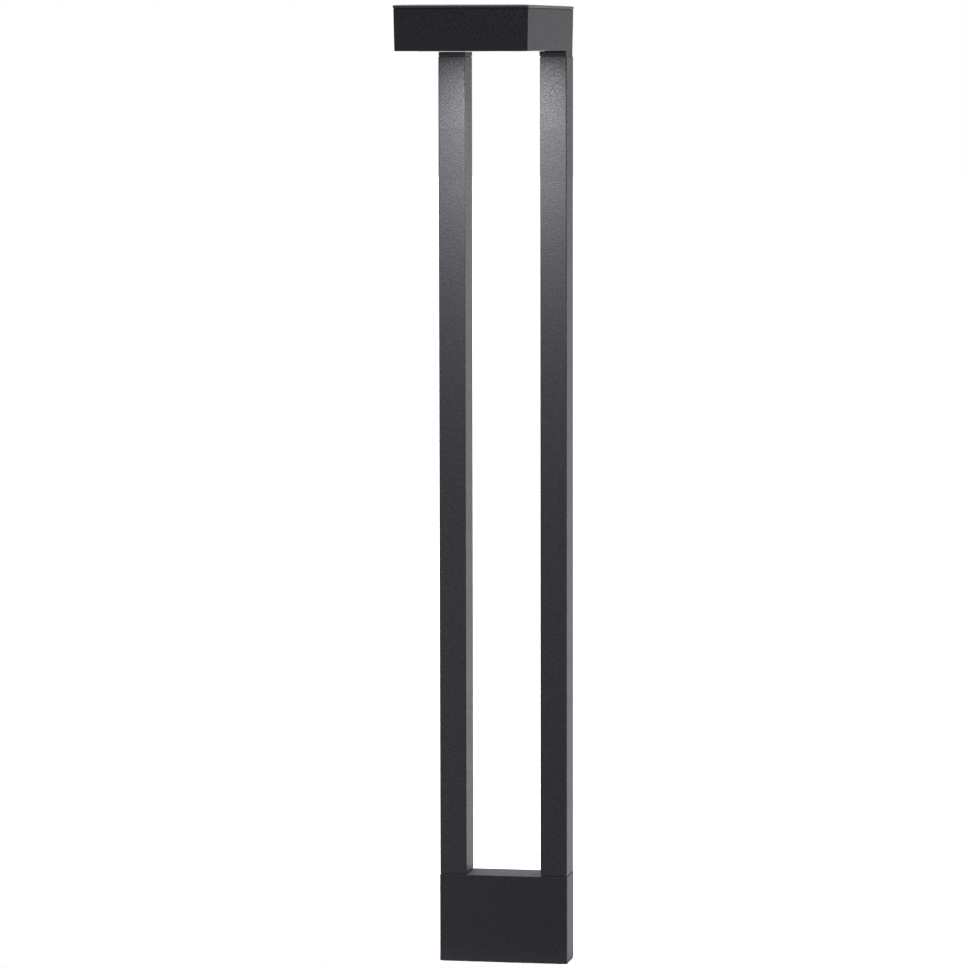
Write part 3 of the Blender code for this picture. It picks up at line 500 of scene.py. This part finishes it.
for side, label in ((-1, "left"), (1, "right")):
    x = side * POST_X
    loops = [(bar_hollow(x), post_z0)]
    loops += [(bar(x, i), z) for i, z in edge(post_z0, POST_END, 1, 3)]
    loops += [(bar(x, i), z) for i, z in edge(post_z1, POST_END, -1, 3)]
    loops += [(bar_hollow(x), post_z1)]
    piece(f"post_bar_{label}", shell(loops, ring=True), POST_COAT, f"post_{label}")
    for level, z0, z1 in (("lower", BASE_HI.z, post_z0), ("upper", post_z1, STUB_BOTTOM)):
        loops = [(bar_hollow(x), z0), (bar(x, SEAL_EDGE_INSET), z0),
                 (bar(x, SEAL_MIDDLE_INSET), (z0 + z1) / 2),
                 (bar(x, SEAL_EDGE_INSET), z1), (bar_hollow(x), z1)]
        piece(f"seal_{level}_{label}", shell(loops, ring=True), RUBBER,
              f"post_seal_{level}_{label}")

# ------------------------------------------------------------------ lamp head housing
HEAD_R, HEAD_LEAST_R, HEAD_R_LOSS = 0.0016, 0.0006, 0.35    # a corner's radius shrinks with the inset
HEAD_EDGE, RIM_EDGE = 0.0010, 0.0005
GROOVE_INSET, GROOVE_WIDTH, GROOVE_DEPTH = 0.0019, 0.0022, 0.002
RIM_INNER, RIM_DEPTH, RIM_SLOPE_END = 0.0054, 0.005, 0.008
WALL_HIGH, WALL_LOW, FLOOR_FILLET = 0.0044, 0.0048, 0.0004
INSIDE_R, WINDOW_R = 0.002, 0.003
# flare, corner radius and height of each row of the window's mouth
WINDOW_MOUTH = ((0.0, 0.0030, 0.0008), (0.0003, 0.0032, 0.0003), (0.0009, 0.0038, 0.0))
SPREADER_HOLE_DEPTH, DRIVER_HOLE_SINK, POCKET_MOUTH = 0.014, 0.0010, 0.0004


def head(inset=0.0, radius=None):
    if radius is None:
        radius = max(HEAD_R - inset * HEAD_R_LOSS, HEAD_LEAST_R)
    return rounded(HEAD_W - 2 * inset, HEAD_LEN - 2 * inset, radius, 0.0, HEAD_Y)


def window(inset=0.0, radius=WINDOW_R):
    return rounded(WINDOW_W - 2 * inset, WINDOW_L - 2 * inset, radius, 0.0, WINDOW_Y)


# from the window's mouth around the outside to the rim, over its groove and down inside to the floor
loops = [(window(-flare, radius), HEAD_BOTTOM + height) for flare, radius, height in WINDOW_MOUTH]
loops += [(head(HEAD_DRAFT + i), z) for i, z in edge(HEAD_BOTTOM, HEAD_EDGE, 1)]
loops += [(head(i), z) for i, z in edge(RIM_Z, RIM_EDGE, -1)]
loops += [(head(GROOVE_INSET), RIM_Z), (head(GROOVE_INSET), RIM_Z - GROOVE_DEPTH),
          (head(GROOVE_INSET + GROOVE_WIDTH), RIM_Z - GROOVE_DEPTH),
          (head(GROOVE_INSET + GROOVE_WIDTH), RIM_Z),
          (head(RIM_INNER, INSIDE_R), RIM_Z), (head(RIM_INNER, INSIDE_R), RIM_Z - RIM_DEPTH),
          (head(WALL_HIGH, INSIDE_R), RIM_Z - RIM_SLOPE_END),
          (head(WALL_LOW, INSIDE_R), FLOOR_Z + FLOOR_FILLET),
          (head(WALL_LOW + FLOOR_FILLET, INSIDE_R), FLOOR_Z), (window(), FLOOR_Z)]

bosses = [cylinder(COVER_BOSS_DIA, BOSS_ROOT, PILLAR_TOP, px, py) for px, py in cover_screws]
bosses += [cylinder(LENS_BOSS_DIA, BOSS_ROOT, FRAME_Z - GAP, px, py, FEW_SIDES) for px, py in lens_screws]
bosses += [cylinder(SPREADER_BOSS_DIA, BOSS_ROOT, SPREADER_Z - GAP, px, py, FEW_SIDES)
           for px, py in spreader_screws]
bosses += [cylinder(DRIVER_BOSS_DIA, BOSS_ROOT, FLOOR_Z + DRIVER_BOSS_HEIGHT, px, py, FEW_SIDES)
           for px, py in driver_screws]

# two stubs that reach down onto the posts, with a fillet where they leave the head's underside
FILLET, FILLET_STEPS = 0.0009, 5
STUB_SINK = 0.00005          # keeps the stub's sides and the head's from sharing a plane
STUB_ROOT = 0.0018           # the stub runs this far up into the head's floor
STUB_R_LOSS = 0.5            # a corner's radius shrinks by this share of the inset
stub_outer = HEAD_W / 2 - HEAD_DRAFT - STUB_SINK
stub_inner = POST_X - POST_W / 2 - STUB_INNER_STEP
stub_back = HEAD_HI.y - HEAD_DRAFT - STUB_SINK
stub_front = -POST_D / 2 - STUB_FRONT_STEP


def stub(side, flare=0.0, inset=0.0):
    a, b = side * (stub_inner - flare + inset), side * (stub_outer - inset)
    return rect_between(min(a, b), max(a, b), stub_front - flare + inset, stub_back - inset,
                        POST_R - inset * STUB_R_LOSS)


stubs = []
for side in (-1, 1):
    rows = [(stub(side, 0.0, i), z) for i, z in edge(STUB_BOTTOM, POST_END, 1, 3)]
    for step in range(FILLET_STEPS + 1):
        a = math.pi / 2 * step / FILLET_STEPS
        rows.append((stub(side, FILLET * (1 - math.cos(a))), HEAD_BOTTOM - FILLET * (1 - math.sin(a))))
    rows.append((stub(side, FILLET), HEAD_BOTTOM + STUB_ROOT))
    stubs.append(shell(rows))

bores = [cylinder(M4_BORE, HEAD_BOTTOM - OVER, PILLAR_TOP + OVER, px, py) for px, py in cover_screws]
bores += [cylinder(M3_BORE, FLOOR_Z, FRAME_Z + OVER, px, py, FEW_SIDES) for px, py in lens_screws]
bores += [cylinder(M4_BORE, SPREADER_Z - SPREADER_HOLE_DEPTH, SPREADER_Z + OVER, px, py, FEW_SIDES)
          for px, py in spreader_screws]
bores += [cylinder(M3_BORE, FLOOR_Z - DRIVER_HOLE_SINK, FLOOR_Z + DRIVER_BOSS_HEIGHT + OVER, px, py,
                   FEW_SIDES) for px, py in driver_screws]
bores += [cylinder(ROD_HOLE_DIA, STUB_BOTTOM - OVER, FLOOR_Z + OVER, side * POST_X, ROD_Y)
          for side in (-1, 1)]
bores.append(cylinder(CABLE_HOLE_DIA, STUB_BOTTOM - OVER, FLOOR_Z + OVER, POST_X, CABLE_Y))
pockets = [moved(drill(COVER_POCKET_DIA, -COVER_POCKET_DEPTH, 0.0, POCKET_MOUTH),
                 at(px, py, HEAD_BOTTOM, flip=True)) for px, py in cover_screws]
piece("lamp_head", shell(loops, ring=True), HEAD_COAT_PAINTED_LIGHT, "head_housing",
      cuts=(("UNION", join(*bosses)), ("UNION", join(*stubs)), ("DIFFERENCE", join(*bores)),
            ("DIFFERENCE", join(*pockets))))

for (px, py), label in zip(cover_screws, ("front_left", "front_right", "rear_left", "rear_right")):
    place = at(px, py, HEAD_BOTTOM + COVER_POCKET_DEPTH - GAP, flip=True)
    piece(f"head_screw_{label}", moved(socket_screw(*COVER_SCREW), place), STEEL,
          f"cover_screw_{label}")

# ------------------------------------------------------------------ crowned cover
OVERHANG, CROWN, LID_FOOT, LID_EDGE, LID_LEAST_R = 0.0006, 0.0010, 0.0004, 0.0006, 0.0008
ROLL, ROLL_SHARE = 0.0030, 0.62     # reach of the rolled shoulder, and its share of the crown's height
DOME_FLAT, DOME_POWER = 0.009, 1.8  # the dome is level this near to the middle
CROWN_STEPS, CROWN_REACH, CROWN_SPACING = 22, 0.058, 1.7
LID_BOSS_DIA, LID_BOSS_SINK, LID_BORE_SINK = 0.0096, 0.001, 0.0008
SHOULDER = TOTAL - CROWN


def lid(inset=0.0, radius=None):
    if radius is None:
        radius = max(HEAD_R + OVERHANG - inset, LID_LEAST_R)
    return head(inset - OVERHANG, radius)


def crown(inset):
    """Height over the shoulder: a rolled edge, then a slight dome over the rest of the plate."""
    inward = min(inset / (HEAD_W / 2 - DOME_FLAT), 1.0)
    roll, dome = 1 - math.exp(-inset / ROLL), 1 - (1 - inward) ** DOME_POWER
    return CROWN * (ROLL_SHARE * roll + (1 - ROLL_SHARE) * dome)


def crown_corner(t):
    """Corner radius of the crown's outline, from the edge at 0 to the last step at 1."""
    return 0.0012 + 0.008 * t * (1 - t) * 2 + 0.002 * t


loops = [(lid(i), z) for i, z in edge(COVER_BOTTOM, LID_FOOT, 1, 4)]
loops += [(lid(i), z) for i, z in edge(SHOULDER, LID_EDGE, -1, 6)]
for step in range(1, CROWN_STEPS + 1):
    t = (step / CROWN_STEPS) ** CROWN_SPACING
    inset = LID_EDGE + (CROWN_REACH - LID_EDGE) * t
    loops.append((lid(inset, crown_corner(t)), SHOULDER + crown(inset - LID_EDGE)))
bosses = [cylinder(LID_BOSS_DIA, PILLAR_TOP + GAP, COVER_BOTTOM + LID_BOSS_SINK, px, py, FEW_SIDES)
          for px, py in cover_screws]
bores = [cylinder(M4_BORE, PILLAR_TOP - OVER, COVER_BOTTOM + LID_BORE_SINK, px, py, FEW_SIDES)
         for px, py in cover_screws]
piece("cover", shell(loops), LID_COAT_PAINTED_LIGHT, "top_cover",
      cuts=(("UNION", join(*bosses)), ("DIFFERENCE", join(*bores))))

# gasket between the cover and the rim: a lip that closes the seam, over a bead in the rim's groove
LIP, LIP_BULGE, BEAD, BEAD_PLAY = 0.0008, 0.0001, 0.0017, 0.0001
bead_outer, bead_inner = GROOVE_INSET + BEAD_PLAY, GROOVE_INSET + GROOVE_WIDTH - BEAD_PLAY
piece("rim_gasket", shell([
    (head(LIP), RIM_Z), (head(LIP - LIP_BULGE), (RIM_Z + COVER_BOTTOM) / 2), (head(LIP), COVER_BOTTOM),
    (head(bead_inner), COVER_BOTTOM), (head(bead_inner), RIM_Z - BEAD),
    (head(bead_outer), RIM_Z - BEAD), (head(bead_outer), RIM_Z),
], ring=True), RUBBER, "cover_gasket")

# ------------------------------------------------------------------ light opening
LENS_STEP, LENS_EDGE, LENS_PLAY = 0.0005, 0.0003, 0.0004
LENS_R, LENS_LEAST_R, FLANGE_R = 0.0030, 0.0012, 0.004
LENS_R_LOSS = 0.1            # a corner's radius shrinks by this share of the inset
BULGE_STEPS, BULGE_REACH, BULGE_SPACING, BULGE_FLAT = 14, 0.036, 1.6, 0.030
BULGE = HEAD_BOTTOM - LENS_LO.z
FLANGE_Z = LENS_HI.z - LENS_FLANGE


def lens_body(inset=0.0):
    return window(LENS_PLAY + inset, max(LENS_R - inset * LENS_R_LOSS, LENS_LEAST_R))


def flange(inset=0.0):
    return rounded(LENS_HI.x - LENS_LO.x - 2 * inset, LENS_HI.y - LENS_LO.y - 2 * inset, FLANGE_R - inset,
                   0.0, WINDOW_Y)


loops = []
for step in range(BULGE_STEPS, 0, -1):
    inset = LENS_EDGE + BULGE_REACH * (step / BULGE_STEPS) ** BULGE_SPACING
    dome = 1 - (1 - min((inset - LENS_EDGE) / BULGE_FLAT, 1.0)) ** 3
    loops.append((lens_body(inset), HEAD_BOTTOM - LENS_STEP - (BULGE - LENS_STEP) * dome))
loops += [(lens_body(i), z) for i, z in edge(HEAD_BOTTOM - LENS_STEP, LENS_EDGE, 1, 4)]
loops += [(lens_body(), FLANGE_Z), (flange(), FLANGE_Z)]
loops += [(flange(i), z) for i, z in edge(LENS_HI.z, LENS_EDGE, -1, 3)]
piece("opal_panel", shell(loops), OPAL, "diffuser_lens")

# ------------------------------------------------------------------ carried-over pieces: materials
for node, material in {
    "anchor_plate": CASTING, "entry_grommet": RUBBER, "entry_plug": RUBBER,
    "lens_gasket": RUBBER, "lens_frame": SHEET, "heat_spreader": SHEET, "reflector": WHITE,
    "led_board": BOARD, "led_driver": CASE, "terminal_block": TERMINAL, "junction_box": TERMINAL,
    "junction_cover": TERMINAL, "post_cable": SHEATH, "led_lead": SHEATH, "earth_screw": STEEL,
    "tie_rod_left": STEEL, "tie_rod_right": STEEL, "driver_screw_left": STEEL, "driver_screw_right": STEEL,
    **{f"led_{i}": PHOSPHOR for i in range(1, 7)},
    **{f"lens_screw_{i}": STEEL for i in range(1, 5)},
    **{f"spreader_screw_{i}": STEEL for i in range(1, 5)},
    **{f"tie_nut_{level}_{side}": STEEL for level in ("lower", "upper") for side in ("left", "right")},
}.items():
    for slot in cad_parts[node].material_slots:
        slot.material = material

# ------------------------------------------------------------------ floor
# it lies under the lamp and behind it: in front it would throw light up onto the plinth and the posts
FLOOR_SIZE, FLOOR_FRONT = 30.0, -0.03
FLOOR_DROP = -0.0004         # so that the floor and the plinth's underside don't share a plane
mesh = bpy.data.meshes.new("floor")
mesh.from_pydata([(x, y, FLOOR_DROP) for x, y in (
    (-FLOOR_SIZE, FLOOR_FRONT), (FLOOR_SIZE, FLOOR_FRONT),
    (FLOOR_SIZE, FLOOR_SIZE), (-FLOOR_SIZE, FLOOR_SIZE),
)], [], [(0, 1, 2, 3)])
floor = bpy.data.objects.new("floor", mesh)
scene.collection.objects.link(floor)
mesh.materials.append(paper("floor_paper"))

# ------------------------------------------------------------------ surroundings
# the studio is brightest in front of the lamp, a little dimmer behind it and dark to its left and right;
# the camera itself sees plain white
BACK_WALL, FRONT_FILL, SIDE_FILL = 0.59, 0.72, 0.10
SIDE_REACH, FULL_REACH = 0.15, 0.80    # how much a direction points along Y where a wall starts, and is full
FILL_COLOUR, SEEN_COLOUR = (0.945, 0.955, 1.0, 1.0), (1.0, 1.0, 1.0, 1.0)

world = bpy.data.worlds.new("studio")
scene.world = world
world.use_nodes = True
tree = world.node_tree
tree.nodes.clear()


def world_node(kind, **settings):
    node = tree.nodes.new(kind)
    for key, value in settings.items():
        setattr(node, key, value)
    return node


def ramp(value, a0, a1, b0, b1):
    node = world_node("ShaderNodeMapRange", interpolation_type="SMOOTHSTEP")
    tree.links.new(value, node.inputs[0])
    for socket, number in zip(list(node.inputs)[1:5], (a0, a1, b0, b1)):
        socket.default_value = number
    return node.outputs["Result"]


way = world_node("ShaderNodeSeparateXYZ")
tree.links.new(world_node("ShaderNodeTexCoord").outputs["Generated"], way.inputs[0])
behind = ramp(way.outputs["Y"], SIDE_REACH, FULL_REACH, SIDE_FILL, BACK_WALL)
front = ramp(way.outputs["Y"], -FULL_REACH, -SIDE_REACH, FRONT_FILL - SIDE_FILL, 0.0)
wall = world_node("ShaderNodeMath", operation="ADD")
tree.links.new(behind, wall.inputs[0])
tree.links.new(front, wall.inputs[1])
seen, fill = world_node("ShaderNodeBackground"), world_node("ShaderNodeBackground")
seen.inputs["Color"].default_value = SEEN_COLOUR
seen.inputs["Strength"].default_value = 1.0
fill.inputs["Color"].default_value = FILL_COLOUR
tree.links.new(wall.outputs[0], fill.inputs["Strength"])
path, mix = world_node("ShaderNodeLightPath"), world_node("ShaderNodeMixShader")
out = world_node("ShaderNodeOutputWorld")
tree.links.new(path.outputs["Is Camera Ray"], mix.inputs[0])
tree.links.new(fill.outputs[0], mix.inputs[1])
tree.links.new(seen.outputs[0], mix.inputs[2])
tree.links.new(mix.outputs[0], out.inputs["Surface"])

# ------------------------------------------------------------------ lights
SKY_STRENGTH, SKY_ANGLE, SKY_WAY = 6.2, 70.0, (0.0, -0.30, -1.0)
LAMP_COLOUR, LAMP_LENGTH_SHARE = (1.0, 0.985, 0.955), 0.96
LAMP_WIDE = (2.28, 180.0)    # watts and spread in degrees of the light that leaves the lens everywhere
LAMP_BEAM = (1.70, 140.0)    # and of a share that is held closer to straight down
STRIP_SIZE, STRIP_POWER, STRIP_SPREAD = (0.08, 0.45), 0.042, 20.0
STRIP_PLACE, STRIP_TARGET = (-0.66, -0.95, 0.18), (-0.13, 0.0, 0.18)


def aim(obj, direction):
    obj.rotation_euler = direction.to_track_quat("-Z", "Y").to_euler()


def rectangle_light(name, size, power, spread, place):
    light = bpy.data.lights.new(name, "AREA")
    light.shape, light.size, light.size_y = "RECTANGLE", *size
    light.energy, light.spread = power, math.radians(spread)
    obj = bpy.data.objects.new(name, light)
    obj.location = place
    obj.visible_camera = False
    scene.collection.objects.link(obj)
    return obj


sky = bpy.data.lights.new("soft_sky", "SUN")
sky.energy, sky.angle = SKY_STRENGTH, math.radians(SKY_ANGLE)
sky_obj = bpy.data.objects.new("soft_sky", sky)
aim(sky_obj, Vector(SKY_WAY))
scene.collection.objects.link(sky_obj)

for name, (power, spread) in (("lamp_wide", LAMP_WIDE), ("lamp_beam", LAMP_BEAM)):
    lamp = rectangle_light(name, (WINDOW_W, WINDOW_L * LAMP_LENGTH_SHARE), power, spread,
                           (0.0, WINDOW_Y, LENS_LO.z - GAP))
    lamp.data.color = LAMP_COLOUR

# a low strip in front and to the left brightens the front of the left post's lower part
strip = rectangle_light("strip", STRIP_SIZE, STRIP_POWER, STRIP_SPREAD, STRIP_PLACE)
aim(strip, Vector(STRIP_TARGET) - strip.location)

# ------------------------------------------------------------------ camera
SENSOR_WIDTH, FOCAL_LENGTH, VIEW_END = 36.0, 188.104, 200.0
CAMERA_PLACE = (0.90619, -5.19102, 0.96504)
TURN, TILT, CANT = 10.1563, 5.0211, -0.0982    # degrees: to the left, down, and about the line of sight

camera_data = bpy.data.cameras.new("camera")
camera_data.sensor_width = SENSOR_WIDTH
camera_data.lens = FOCAL_LENGTH
camera_data.clip_end = VIEW_END
camera = bpy.data.objects.new("camera", camera_data)
camera.location = CAMERA_PLACE
camera.rotation_euler = (Matrix.Rotation(math.radians(TURN), 3, "Z")
                         @ Matrix.Rotation(math.radians(90 - TILT), 3, "X")
                         @ Matrix.Rotation(math.radians(CANT), 3, "Z")).to_euler()
scene.collection.objects.link(camera)
scene.camera = camera
scene.view_settings.view_transform = "Standard"
scene.view_settings.look = "None"
